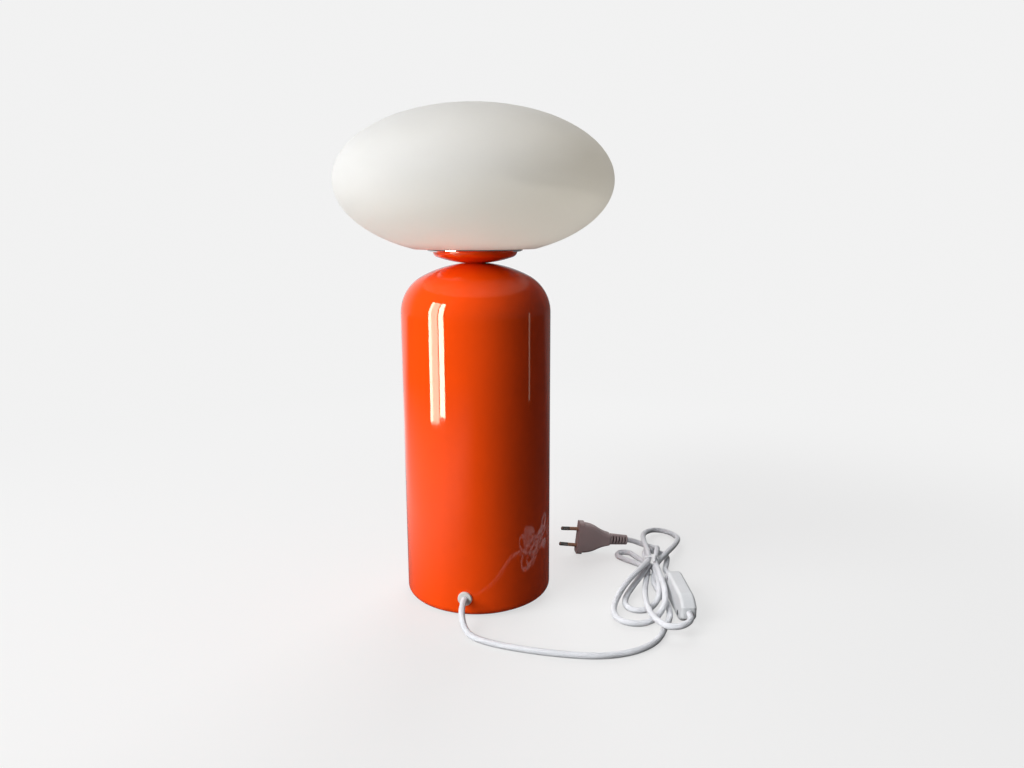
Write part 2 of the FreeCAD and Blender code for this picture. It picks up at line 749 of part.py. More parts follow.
def make_switch():
    """Two case halves on edge, with the rocker on its pivot in the window of the outer half."""
    frame = Placement(SWITCH_MIDDLE, upright(SWITCH_ALONG))
    half, end, broad = s.switch_length / 2, s.switch_end / 2, s.switch_width / 2
    straight, deep = s.switch_straight / 2, s.switch_thick / 2
    run, drop = half - straight, broad - end
    bend = (run * run + drop * drop) / (drop * 2)
    case = [(-straight, -broad), (straight, -broad, bend, LEFT), (half, -end), (half, end, bend, LEFT),
            (straight, broad), (-straight, broad, bend, LEFT), (-half, end), (-half, -end, bend, LEFT)]
    chamber = box_corners(-s.chamber_half, s.chamber_half, s.switch_wall - broad, broad - s.switch_wall)
    floor = deep - s.switch_wall
    window_x = s.rocker_length / 2 + s.rocker_play * 2
    window_z = s.rocker_width / 2 + s.rocker_play
    screws = ((s.case_screw_x, s.case_screw_z), (-s.case_screw_x, -s.case_screw_z))
    pivot = deep - s.pivot_depth

    for label, inner_side in (("switch_base", True), ("switch_cover", False)):
        body = new_body(label, frame)
        block = pad(body, "XZ_Plane", case, deep, Reversed=inner_side)
        rounded_off(body, block, s.case_round, deep.value)
        pocket(body, "XZ_Plane", chamber, floor, Reversed=not inner_side)
        drill(body, s.cord_radius + s.bore_play, s.switch_length, (0, 0, -half), "YZ_Plane")
        for x, z in screws:
            drill(body, s.case_screw_radius + s.bore_play, deep + floor, (x, z, -deep), "XZ_Plane")
            if inner_side:
                drill(body, s.case_screw_head + s.bore_play, s.switch_wall, (x, z, -deep), "XZ_Plane")
        nodes[label] = body
    cover = nodes["switch_cover"]
    pocket(cover, "XZ_Plane", box_corners(-window_x, window_x, -window_z, window_z), deep, Reversed=True)
    lug_low = pivot - s.lug_reach
    for low, high in ((window_z, window_z + s.lug_thick), (-window_z - s.lug_thick, -window_z)):
        lug = box_corners(-s.lug_half, s.lug_half, low, high)
        pad(cover, "XZ_Plane", lug, floor - lug_low, (0, 0, lug_low))
    pin_half = window_z + s.lug_thick
    drill(cover, s.pivot_radius + s.bore_play, pin_half * 2, (0, -pivot, -pin_half))

    tilted = Rotation(Vector(0, 0, 1), -s.rocker_tilt.value)
    pivot_frame = frame.multiply(Placement(Vector(0, -pivot.value, 0), tilted))
    rocker = new_body("switch_rocker", pivot_frame)
    tip, face = s.rocker_length / 2, s.pivot_depth + s.rocker_proud
    pad(rocker, "XY_Plane", [
        (-tip, -face - s.rocker_rise), (0, -face), (tip, -face - s.rocker_rise),
        (tip - 0.4, s.rocker_depth), (0.4 - tip, s.rocker_depth)],
        s.rocker_width, (0, 0, -s.rocker_width / 2))
    drill(rocker, s.pivot_radius + s.pivot_play, s.rocker_width, (0, 0, -s.rocker_width / 2))
    nodes["switch_rocker"] = rocker
    turned("switch_pin", ring(0, s.pivot_radius, -pin_half, pin_half), pivot_frame)

    contacts = new_body("switch_contacts", frame)
    for low, high in ((4, 10), (-10, -4)):
        pad(contacts, "XZ_Plane", box_corners(size(low), size(high), size(-3), size(3)), 1.4, (0, 0, -floor))
    nodes["switch_contacts"] = contacts
    bolts = []
    for number, (x, z) in enumerate(screws, start=1):
        head = s.switch_wall
        corners = [
            (0, -deep - floor + 0.5), (s.case_screw_radius, -deep - floor + 0.5),
            (s.case_screw_radius, -head), (s.case_screw_head, -head), (s.case_screw_head, 0), (0, 0)]
        place = Placement(Vector(x.value, deep.value, z.value), Rotation(Vector(0, 0, 1), Vector(0, 1, 0)))
        bolts.append(turned(f"case_screw_{number}", corners, frame.multiply(place)))
    gather("switch_screws", bolts)


def gather(label, bodies):
    """One node of several equal bodies."""
    group = doc.addObject("Part::Compound", label)
    group.Links = bodies
    for body in bodies:
        del nodes[body.Label]
    nodes[label] = group


def make_plug():
    """A flat two-pin plug on its edge, with its ribbed strain relief down on the floor."""
    frame = Placement(PLUG_FACE, upright(PLUG_ALONG))
    wide, deep = s.plug_width / 2, s.plug_thick / 2
    body = new_body("plug_body", frame)
    start, waist, end = s.plug_flange / 2, s.plug_waist_at, s.plug_length
    shoulder, narrow, neck = s.plug_shoulder, s.plug_waist, s.relief_radius + 0.4
    block = pad(body, "XZ_Plane", [
        (start, -shoulder), (s.plug_flange, -shoulder, s.plug_belly, LEFT),
        (waist, -narrow, s.plug_hollow, RIGHT), (end, -neck),
        (end, neck, s.plug_hollow, RIGHT), (waist, narrow, s.plug_belly, LEFT),
        (s.plug_flange, shoulder), (start, shoulder)], s.plug_thick, (0, 0, -deep))
    rounded_off(body, block, s.plug_round, deep.value)
    corner = s.plug_corner
    pad(body, "YZ_Plane", [
        (corner - deep, -wide), (deep - corner, -wide, corner, LEFT), (deep, corner - wide),
        (deep, wide - corner, corner, LEFT), (deep - corner, wide), (corner - deep, wide, corner, LEFT),
        (-deep, wide - corner),
        (-deep, corner - wide, corner, LEFT)], s.plug_flange)
    nodes["plug_body"] = body

    pitch = s.relief_length / RELIEF_RIBS
    outline = [(0, 0)]
    for rib in range(RELIEF_RIBS):
        low = pitch * rib
        outline += [(s.relief_groove, low), (s.relief_groove, low + pitch * 0.4),
                    (s.relief_radius, low + pitch * 0.4), (s.relief_radius, low + pitch)]
    outline.append((0, s.relief_length))
    to_tail = Rotation(Vector(0, 0, 1), Vector(1, 0, 0))
    turned("plug_relief", outline, frame.multiply(Placement(Vector(s.plug_length.value, 0, 0), to_tail)))

    pins, sleeves = [], []
    for number, side in enumerate((1, -1), start=1):
        lean = math.radians(1.66)
        out = Vector(-math.cos(lean), 0, -side * math.sin(lean))
        place = frame.multiply(Placement(
            Vector(0, 0, side * s.pin_spacing.value / 2), Rotation(Vector(0, 0, 1), out)))
        pins.append(turned(f"pin_{number}", [
            (0, 0.1), (s.pin_neck, 0.1), (s.pin_neck, s.sleeve_length), (s.pin_radius, s.sleeve_length),
            (s.pin_radius, s.pin_length - 1, 1, LEFT), (s.pin_radius - 1, s.pin_length),
            (0, s.pin_length)], place))
        sleeve = ring(s.pin_neck, s.pin_radius - 0.1, 0.1, s.sleeve_length)
        sleeves.append(turned(f"sleeve_{number}", sleeve, place))
    gather("plug_pins", pins)
    gather("pin_sleeves", sleeves)


make_foot()
make_body_shell()
make_bushing()
make_neck()
make_shade()
make_holder()
make_bulb()
make_cord()
make_tie()
make_switch()
make_plug()
doc.recompute()

for thing in doc.Objects:
    if {"Invalid", "Error"} & set(thing.State):
        raise RuntimeError(f"{thing.Label} could not be built")
for label, thing in nodes.items():
    if thing.Shape.isNull() or not thing.Shape.isValid() or thing.Shape.Volume <= 0:
        raise RuntimeError(f"{label} is not a valid solid")
os.makedirs("parts", exist_ok=True)
for label, thing in nodes.items():
    thing.Shape.exportStep(f"parts/{label}.step")
    print(f"{label}: {len(thing.Shape.Solids)} solid, {thing.Shape.Volume / 1000:.2f} cm3")
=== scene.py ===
"""Table lamp: finishes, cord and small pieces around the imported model, laid out as an add-on.

The model is loaded as a fixed frame in metres, +Z up, with the cord's exit towards -Y.  Each
operator makes or finishes one piece or one group of like pieces, and main() runs them in order.
"""
import math

import bmesh
import bpy
from bpy.props import FloatProperty, FloatVectorProperty, IntProperty, PointerProperty
from mathutils import Matrix, Vector


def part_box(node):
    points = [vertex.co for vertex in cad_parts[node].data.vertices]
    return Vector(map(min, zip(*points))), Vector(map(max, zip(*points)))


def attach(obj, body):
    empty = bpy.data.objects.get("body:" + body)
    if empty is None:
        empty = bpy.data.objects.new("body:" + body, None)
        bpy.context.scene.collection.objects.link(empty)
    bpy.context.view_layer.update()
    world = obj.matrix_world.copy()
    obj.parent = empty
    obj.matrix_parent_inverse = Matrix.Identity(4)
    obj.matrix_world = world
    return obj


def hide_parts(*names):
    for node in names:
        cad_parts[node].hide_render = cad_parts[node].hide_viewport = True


bl_info = {
    "name": "Table lamp with an opal glass shade",
    "version": (1, 0, 0),
    "blender": (4, 5, 0),
    "location": "3D View > Sidebar > Table lamp",
    "description": "Dresses the lamp's model with finishes, its textile cord, switch, plug and bulb",
    "category": "Object",
}

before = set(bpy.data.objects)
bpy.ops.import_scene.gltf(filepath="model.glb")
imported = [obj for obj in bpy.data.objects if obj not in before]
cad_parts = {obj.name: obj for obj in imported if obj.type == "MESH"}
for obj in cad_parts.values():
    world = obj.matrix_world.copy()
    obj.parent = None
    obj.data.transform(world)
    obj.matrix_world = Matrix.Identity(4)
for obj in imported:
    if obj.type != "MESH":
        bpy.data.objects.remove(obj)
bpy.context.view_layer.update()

# The picture's frame.
PICTURE_WIDTH = 1024
SHIFT_PIXELS = 2.4
SENSOR_WIDTH = 36

# The floor as the camera sees it: pale near the lamp, and the backdrop's tone further out.
FLOOR_RADIUS = 6
FLOOR_SIDES = 64
FLOOR_BOUNCE = 0.35
FLOOR_FADE = (0.40, 1.10)
FLOOR_PAINTED = 0.70
FLOOR_TONE = 0.93
BACKDROP = 0.885

# The floor as gloss mirrors it: bright on the left, near the lamp and behind it.
MIRROR_SIDE = 0.30
MIRROR_FAN = 0.6
MIRROR_DEPTH = 0.6
MIRROR_REACH = (1.30, 0.10)
MIRROR_NEAR = 0.75
MIRROR_BACK = 0.80
MIRROR_RIGHT = 0.12
MIRROR_LEAST = 0.05

# The room's brightness: its bright side, where the change starts and ends, and both values.
ROOM_GLOW = ((-0.85, 0.40, 0.25), (-0.6, 0.9), (0.004, 0.18))
ROOM_MIRRORED = ((-0.45, 0.90, 0.0), (0.70, 0.98), (0.12, 0.80))

# Soft lights: name, bearing, distance, height, extent and share of the power.
LAMP_MIDDLE = (0, 0, 0.25)
SOFT_LIGHTS = (
    ("soft_left", -57, 2.00, 1.20, 1.7, 1.0),
    ("soft_back", 165, 2.00, 1.25, 1.6, 0.6))

# Fill lights: name, pieces lit, bearing, distance, height, target, share of the power and colour.
FILL_EXTENT = 0.6
GLASS_MIDDLE = (0, 0, 0.39)
BODY_MIDDLE = (0, 0, 0.15)
HANK_MIDDLE = (0.17, 0.01, 0)
WARM, NEUTRAL, COOL = (1.0, 0.93, 0.80), (1.0, 1.0, 1.0), (0.93, 0.96, 1.0)
FILL_LIGHTS = (
    ("fill_low", "lit_glass", 10, 0.3, -0.6, GLASS_MIDDLE, 1.35, WARM),
    ("fill_right", "lit_glass", 58, 0.8, 0.70, GLASS_MIDDLE, 0.65, WARM),
    ("fill_body", "lit_body", -62, 1.5, 0.3, BODY_MIDDLE, 1.2, NEUTRAL),
    ("fill_cord", "lit_cord", -25, 0.6, 0.8, HANK_MIDDLE, 1.2, COOL))

# Panes that only gloss mirrors: name, bearing, width, bottom, top and share of the glow.
PANE_DISTANCE = 0.60
PANE_COLOUR = (1.0, 0.94, 0.74)
PANES = (
    ("pane_edge", -68.8, 0.055, 0.05, 0.60, 1.8),
    ("pane_middle", -61.0, 0.104, 0.05, 0.60, 1.0),
    ("pane_bright", -50.6, 0.082, 0.06, 0.60, 2.2),
    ("pane_right", 83.0, 0.028, 0.08, 0.30, 0.12))

GLOSSY_NODES = ("body_shell", "neck_dish", "gallery")

# The range that noise mostly stays in.
NOISE_LOW, NOISE_HIGH = 0.3, 0.7


def colour_property(name, description, default):
    return FloatVectorProperty(
        name=name, description=description, default=default, size=3, min=0, max=1, subtype="COLOR")


class LampColours(bpy.types.PropertyGroup):
    """Colours of the visible finishes."""

    lacquer: colour_property(
        "Lacquer", "Orange lacquer of the body and the neck bowl", (0.88, 0.068, 0.0028))
    glass: colour_property("Opal glass", "Satin white glass of the shade", (0.76, 0.755, 0.73))
    cord: colour_property("Cord", "White textile braid of the cord", (0.83, 0.84, 0.87))
    switch: colour_property("Switch", "Light grey plastic of the inline switch", (0.56, 0.57, 0.58))
    # The plug is white plastic; this warm grey is painted shade with a painted orange bounce from the lamp's
    # body.
    plug: colour_property("Plug", "Warm grey plastic of the plug", (0.34, 0.27, 0.265))


class LampCord(bpy.types.PropertyGroup):
    """Sizes of the textile cord."""

    diameter: FloatProperty(
        name="Diameter", description="Diameter over the braid", default=0.0056, unit="LENGTH")
    sides: IntProperty(name="Sides", description="Faces round the cord", default=16, min=8)
    spacing: FloatProperty(
        name="Spacing", description="Distance between the cord's rings", default=0.0016, unit="LENGTH")
    carriers: IntProperty(
        name="Carriers", description="Braid strands that turn one way round the cord", default=8)
    pitch: FloatProperty(
        name="Braid pitch", description="Length of the cord in which a strand goes once round",
        default=0.022, unit="LENGTH")
    tie: FloatProperty(name="Tie", description="Thickness of the wire tie", default=0.0014, unit="LENGTH")


class LampStage(bpy.types.PropertyGroup):
    """Camera, floor and light."""

    distance: FloatProperty(
        name="Camera distance", description="From the lamp's axis to the camera",
        default=0.7265, unit="LENGTH")
    height: FloatProperty(
        name="Camera height", description="Height of the camera over the floor",
        default=0.3404, unit="LENGTH")
    pitch: FloatProperty(
        name="Pitch", description="How far the camera looks down",
        default=math.radians(10.896), unit="ROTATION")
    yaw: FloatProperty(
        name="Yaw", description="How far the camera looks to the right",
        default=math.radians(2.613), unit="ROTATION")
    roll: FloatProperty(
        name="Roll", description="Turn of the camera about its own axis",
        default=math.radians(-0.214), unit="ROTATION")
    lens: FloatProperty(
        name="Lens", description="Focal length on a 36 mm sensor", default=27.58, unit="CAMERA")
    floor: colour_property("Floor", "Pale floor", (0.86, 0.86, 0.86))
    soft: FloatProperty(
        name="Soft light", description="Power of the soft light on the left", default=60.0, unit="POWER")
    pane: FloatProperty(name="Panes", description="Glow of the panes that the gloss mirrors", default=15.0)
    fill: FloatProperty(
        name="Fill light", description="Power that each fill light takes its share of",
        default=5.0, unit="POWER")


class LampSettings(bpy.types.PropertyGroup):
    """All settings of the lamp."""

    colours: PointerProperty(type=LampColours)
    cord: PointerProperty(type=LampCord)
    stage: PointerProperty(type=LampStage)


def join(tree, socket, value):
    """Feed a socket from another socket, or set its own value."""
    if isinstance(value, bpy.types.NodeSocket):
        tree.links.new(value, socket)
    else:
        socket.default_value = value


def shade_of(colour, factor):
    return tuple(min(channel * factor, 1) for channel in colour)


class Finish:
    """A procedural finish: one Principled shader and the nodes that feed it."""

    def __init__(self, name, **sockets):
        self.material = bpy.data.materials.new(name)
        self.material.use_nodes = True
        self.tree = self.material.node_tree
        self.shader = self.tree.nodes["Principled BSDF"]
        self.place = self.node("TexCoord")
        self.set(**sockets)

    def node(self, kind, inputs=(), **settings):
        made = self.tree.nodes.new("ShaderNode" + kind)
        for name, value in settings.items():
            setattr(made, name, value)
        for socket, value in dict(inputs).items():
            join(self.tree, made.inputs[socket], value)
        return made

    def set(self, **sockets):
        """Feed the shader's sockets, whose names have _ for a space."""
        for socket, value in sockets.items():
            join(self.tree, self.shader.inputs[socket.replace("_", " ")], value)

    def noise(self, scale, detail=2.0):
        """Noise on the piece's own coordinates, with its scale per metre."""
        place = self.place.outputs["Object"]
        return self.node("TexNoise", {"Vector": place, "Scale": scale, "Detail": detail}).outputs["Fac"]

    def math(self, operation, first, second=0.0):
        return self.node("Math", {0: first, 1: second}, operation=operation).outputs["Value"]

    def spread(self, noise, low, high):
        """Noise spread over a range of values."""
        ranged = self.node("MapRange", {
            "Value": noise, "From Min": NOISE_LOW, "From Max": NOISE_HIGH, "To Min": low, "To Max": high})
        return ranged.outputs["Result"]

    def ease(self, value, start, end):
        """0 before start and 1 past end, with a smooth step between them."""
        eased = self.node("MapRange", {"Value": value, "From Min": start, "From Max": end},
                          interpolation_type="SMOOTHSTEP")
        return eased.outputs["Result"]

    def blend(self, factor, first, second):
        colours = {"Factor": factor, "A": (*first, 1), "B": (*second, 1)}
        return self.node("Mix", colours, data_type="RGBA").outputs["Result"]

    def drift(self, noise, colour, low, high):
        """A colour that noise varies between two strengths."""
        return self.blend(self.spread(noise, 0, 1), shade_of(colour, low), shade_of(colour, high))

    def relief(self, height, strength, depth):
        bump = self.node("Bump", {"Height": height, "Strength": strength, "Distance": depth})
        self.set(Normal=bump.outputs["Normal"])


def lacquer_finish(colour):
    """Glossy lacquer: faint drift of the colour, fine orange peel and a clear coat."""
    finish = Finish("orange_lacquer", IOR=1.42, Coat_Weight=0.1, Coat_Roughness=0.02)
    finish.set(
        Base_Color=finish.drift(finish.noise(14, 3), colour, 0.96, 1.03),
        Roughness=finish.spread(finish.noise(60, 4), 0.025, 0.06))
    finish.relief(finish.noise(260), 0.02, 0.0004)
    return finish.material


def glass_finish(colour):
    """Satin opal glass: light goes into the wall and comes out again."""
    finish = Finish("opal_glass", IOR=1.5, Specular_IOR_Level=0.2)
    finish.set(Subsurface_Weight=1.0, Subsurface_Scale=0.006, Subsurface_Radius=(1.0, 1.0, 0.98))
    finish.set(
        Base_Color=finish.drift(finish.noise(11, 3), colour, 0.985, 1.01),
        Roughness=finish.spread(finish.noise(90, 4), 0.44, 0.56))
    finish.relief(finish.noise(700), 0.05, 0.0002)
    return finish.material


def metal_finish(name, colour, roughness, scale=160, peel=0.03):
    """Bare or plated metal: gloss and tone drift with its working marks."""
    finish = Finish(name, Metallic=1.0)
    marks = finish.noise(scale, 5)
    finish.set(
        Base_Color=finish.drift(marks, colour, 0.9, 1.0),
        Roughness=finish.spread(finish.noise(scale * 0.6, 4), *roughness))
    finish.relief(marks, peel, 0.0002)
    return finish.material


def moulded_finish(name, colour, roughness, grain=900, depth=0.06):
    """Moulded plastic or rubber with a fine spark-eroded grain."""
    finish = Finish(name, IOR=1.46)
    finish.set(
        Base_Color=finish.drift(finish.noise(35, 3), colour, 0.94, 1.04),
        Roughness=finish.spread(finish.noise(grain * 0.3, 4), *roughness))
    finish.relief(finish.noise(grain), depth, 0.0003)
    return finish.material


def braid_finish(colour, turns, carriers):
    """Textile braid on the cord's own map: strands go over and under each other both ways round, and the
    colour is darker between them as painted shade.
    """
    finish = Finish("cord_braid", IOR=1.4, Sheen_Weight=0.25, Sheen_Roughness=0.5)
    place = finish.node("SeparateXYZ", {"Vector": finish.place.outputs["UV"]})
    along = finish.math("MULTIPLY", place.outputs["Y"], turns * carriers)
    round_it = finish.math("MULTIPLY", place.outputs["X"], carriers)
    one = finish.math("ADD", along, round_it)
    other = finish.math("SUBTRACT", along, round_it)
    cells = finish.math("ADD", finish.math("FLOOR", one), finish.math("FLOOR", other))
    over = finish.math("FLOORED_MODULO", cells, 2.0)
    ridges = []
    for way in (one, other):
        across = finish.math("MULTIPLY", finish.math("FRACT", way), math.pi)
        ridges.append(finish.math("SINE", across))
    mixed = finish.node("Mix", {"Factor": over, "A": ridges[0], "B": ridges[1]}, data_type="FLOAT")
    strands = mixed.outputs["Result"]
    fibre = finish.noise(2600)
    height = finish.math("ADD", strands, finish.math("MULTIPLY", fibre, 0.35))
    # The colour drops to 0.58 of the cord's own between the strands: painted shade in the braid's grooves.
    finish.set(
        Base_Color=finish.blend(strands, shade_of(colour, 0.58), colour),
        Roughness=finish.spread(fibre, 0.68, 0.86))
    finish.relief(height, 0.5, 0.0004)
    return finish.material


def nodes_named(*names):
    return [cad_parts[name] for name in names]


def wear(finish, *names):
    """Give carried-over nodes a finish."""
    for node in nodes_named(*names):
        node.data.materials.clear()
        node.data.materials.append(finish)


def dress(piece, finish, body, slot, *nodes):
    """Give a new piece its finish and its body, and hide the nodes that it stands for."""
    piece.data.materials.append(finish)
    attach(piece, body)
    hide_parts(*nodes)
    return piece


def light_group(name):
    """The collection of pieces that a light reaches, or whose shadows it casts."""
    return bpy.data.collections.get(name) or bpy.data.collections.new(name)


def put_in_groups(pieces, *groups):
    for group in groups:
        for piece in pieces:
            light_group(group).objects.link(piece)


def deselect():
    if bpy.context.object is not None and bpy.context.object.mode != "OBJECT":
        bpy.ops.object.mode_set(mode="OBJECT")
    bpy.ops.object.select_all(action="DESELECT")


def millimetres(*point):
    return Vector(point) * 0.001


# The cord's exit and the place of the hank.
EXIT_TURN = math.radians(-10.84)
EXIT_HEIGHT = 0.0196
EXIT_PROUD = 0.002
BODY_RADIUS = 0.069
HANK_PLACE = Matrix.Translation((0.175, 0.014, 0)) @ Matrix.Rotation(math.radians(-17.3), 4, "Z")

# Heights in millimetres of a cord on the floor, of the hank's three layers and of their rise at
# the tie, and how far the strands at the tie lie from its middle.
LIE = 2.8
LOW, MIDDLE, HIGH = 2.9, 9.2, 15.5
LIFT = 1.35
COLUMN = 3.25

# Sine cubed times cosine, times this, has its peak at 1.
LOBE_PEAK = 3.079

# The plug and its strain relief.
PLUG_FACE = millimetres(107, 75.5, 18.5)
PLUG_ALONG = Vector((54.6, 4.4, -6.3)).normalized()
PLUG_TAIL = PLUG_FACE + PLUG_ALONG * 0.0552
RELIEF_LENGTH = 0.0185
RELIEF_RADIUS = 0.0061
RELIEF_SIDES = 32
RELIEF_TAPER = 0.985
RELIEF_EDGE = 0.00022
RELIEF_SLOTS = 5
RELIEF_SLOT_DEPTH = 0.0019
RIB_SHARE = 0.48
SLOT_WIDTH = 0.86

# The bulb's screw cap.
CAP_SIDES = 48
CAP_SHOULDER = 0.002
CAP_TAPER = 0.004
THREAD_PITCH = 0.00362
THREAD_DEPTH = 0.00105
THREAD_RINGS = 8
THREAD_START = 0.002
THREAD_END = 0.003

# The wire tie in millimetres: its half width, its lowest and highest run, and its corners.
TIE_SIDE, TIE_LOW, TIE_TOP = 7.0, 0.7, 20.6
TIE_FLAT = 3.0
TIE_CORNER = 1.0
TIE_BEND = 6.0

# The tie's twisted tails in millimetres, with their turn in radians and their twist in wires.
TAIL_POINTS = 23
TAIL_TURN = 0.9
TAIL_AHEAD = 1.0
TAIL_SPACING = 0.62
TAIL_TWIST = 0.62
TAIL_RISE = 0.75


def exit_point(proud):
    reach = BODY_RADIUS + proud
    return Vector((math.sin(EXIT_TURN) * reach, -math.cos(EXIT_TURN) * reach, EXIT_HEIGHT))


def in_hank(along, across, height):
    return HANK_PLACE @ millimetres(across, along, height)


SWITCH_MIDDLE = in_hank(-64.6, 31.1, 12.5)
SWITCH_ALONG = (in_hank(58, -16.6, 0) - in_hank(0, 0, 0)).normalized()


def smooth(start, end, at):
    share = min(max((at - start) / (end - start), 0), 1)
    return share * share * (3 - 2 * share)


def lobe(side, enter, leave, reach, width, lean, climb, last=180, steps=12, belly=0):
    """Points of one bight of the hank, from the tie out to its tip and back."""
    points = []
    for step in range(steps + 1):
        degrees = last * step / steps
        sine, cosine = math.sin(math.radians(degrees)), math.cos(math.radians(degrees))
        across = enter * (1 + cosine) / 2 + leave * (1 - cosine) / 2
        across += side * LOBE_PEAK * width * sine**3 * cosine
        across += lean * sine**4 + 4 * belly * (sine * cosine)**2
        height = climb[0][1] + LIFT * cosine**2
        for (low, start), (high, end) in zip(climb, climb[1:]):
            height += (end - start) * smooth(low, high, degrees)
        points.append(in_hank(side * reach * sine**2, across, height))
    return points


def cord_route():
    """Control points of the whole cord; it runs straight through the switch."""
    points = [exit_point(EXIT_PROUD), exit_point(0.012)]
    points += [millimetres(*point) for point in (
        (-16.0, -89.0, 14.6), (-14.0, -97.0, 7.6), (-8.5, -105.0, LIE + 0.4), (3.0, -114.0, LIE),
        (19.0, -122.5, LIE), (44.0, -132.0, LIE), (74.0, -140.0, LIE), (100.0, -143.5, LIE),
        (125.0, -139.0, LIE), (145.0, -127.0, LIE), (156.0, -112.0, LIE))]
    points += [in_hank(*point) for point in (
        (-110.0, 21.0, LIE), (-94.0, 24.3, LIE), (-75.0, 22.8, LIE), (-55.0, 16.5, LIE),
        (-38.0, 9.0, LIE), (-22.0, COLUMN, LOW + LIFT), (-6.0, COLUMN, LOW + LIFT),
        (9.0, COLUMN - 0.4, LOW + 0.9), (23.0, -8.3, LOW), (35.0, -18.2, LOW), (40.1, -22.0, LOW),
        (46.0, -26.5, LOW), (46.8, -33.8, LOW), (41.8, -39.3, LOW), (34.4, -39.3, LOW),
        (29.5, -33.8, LOW), (22.6, -22.6, LOW), (16.0, -12.3, LOW + 0.3), (7.0, -4.3, LOW + 0.9))]
    points += lobe(
        -1, -COLUMN, 0, 118, 4, 18,
        [(0, LOW), (26, LOW), (62, MIDDLE), (90, MIDDLE)], last=65, steps=5)[1:]
    points += [in_hank(*point) for point in (
        (-110.5, 13.0, MIDDLE), (-123.0, 22.8, MIDDLE + 0.6), (-122.7, 35.3, MIDDLE + 1.8))]
    points += [SWITCH_MIDDLE + SWITCH_ALONG * reach for reach in (-0.048, -0.030, 0.030, 0.046)]
    points += [in_hank(*point) for point in (
        (-4.5, 14.5, 8.2), (11.0, 13.0, 4.2), (29.0, 13.4, 3.2), (45.5, 13.2, LOW), (53.0, 6.1, LOW),
        (52.5, -3.6, 4.6), (45.5, -10.0, 8.0), (31.0, -10.4, 9.6), (15.0, -7.0, 10.1),
        (0.0, -COLUMN, MIDDLE + LIFT))]
    points += lobe(
        -1, -COLUMN, COLUMN, 87, 14.2, -6.5,
        [(0, MIDDLE), (20, MIDDLE), (60, LOW), (104, LOW), (136, MIDDLE), (180, MIDDLE)])[1:]
    back = lobe(
        1, COLUMN, -COLUMN, 116, 18.5, 3,
        [(0, MIDDLE), (18, MIDDLE), (34, MIDDLE + 1.2), (48, MIDDLE + 1.2), (80, LOW), (95, LOW),
         (119, MIDDLE + 1.2), (130, MIDDLE + 3.6), (152, HIGH), (180, HIGH)], belly=2)[1:]
    back[3:7] = [in_hank(*point) for point in (
        (85.0, 22.5, 7.8), (103.0, 19.5, 4.2), (118.5, 8.0, 3.2), (117.0, -8.0, 4.6))]
    points += back
    points += lobe(
        -1, -COLUMN, COLUMN, 113, 22, -8,
        [(0, HIGH), (36, HIGH), (66, LOW), (106, LOW), (123, MIDDLE), (143, HIGH), (180, HIGH)])[1:]
    points += [in_hank(*point) for point in (
        (8.0, COLUMN, HIGH + LIFT), (22.0, COLUMN, HIGH + LIFT), (34.0, 2.8, 16.2), (46.0, 1.8, 11.4),
        (59.5, -3.6, 5.8))]
    points.append(PLUG_TAIL + PLUG_ALONG * 0.015 - millimetres(0, 0, 3.2))
    return points + [PLUG_TAIL + PLUG_ALONG * 0.006, PLUG_TAIL]


def add_spline(curve, kind, points):
    spline = curve.splines.new(kind)
    spline.points.add(len(points) - 1)
    for knot, point in zip(spline.points, points):
        knot.co = (*point, 1)
    if kind == "NURBS":
        spline.order_u = 3
        spline.use_endpoint_u = True


def spline_object(name, kind, points):
    curve = bpy.data.curves.new(name, "CURVE")
    curve.dimensions = "3D"
    add_spline(curve, kind, points)
    made = bpy.data.objects.new(name, curve)
    bpy.context.scene.collection.objects.link(made)
    return made


def points_along(route, spacing):
    """Points at even distances along a NURBS route, read from its own spline."""
    route.data.resolution_u = 12
    graph = bpy.context.evaluated_depsgraph_get()
    mesh = bpy.data.meshes.new_from_object(route.evaluated_get(graph))
    line = [vertex.co.copy() for vertex in mesh.vertices]
    bpy.data.meshes.remove(mesh)
    lengths = [(after - before).length for before, after in zip(line, line[1:])]
    total = sum(lengths)
    count = round(total / spacing)
    points, travelled, segment = [], 0.0, 0
    for step in range(count + 1):
        target = total * step / count
        while segment < len(lengths) - 1 and travelled + lengths[segment] < target:
            travelled += lengths[segment]
            segment += 1
        share = min((target - travelled) / lengths[segment], 1)
        points.append(line[segment].lerp(line[segment + 1], share))
    return points, total


def tube_along(curve, diameter, resolution):
    """Give a curve its thickness and turn it into a smooth mesh."""
    curve.data.bevel_depth = diameter / 2
    curve.data.bevel_resolution = resolution
    curve.data.use_fill_caps = True
    deselect()
    curve.select_set(True)
    bpy.context.view_layer.objects.active = curve
    bpy.ops.object.convert(target="MESH")
    bpy.ops.object.shade_smooth_by_angle(angle=math.radians(50))
    return bpy.context.object


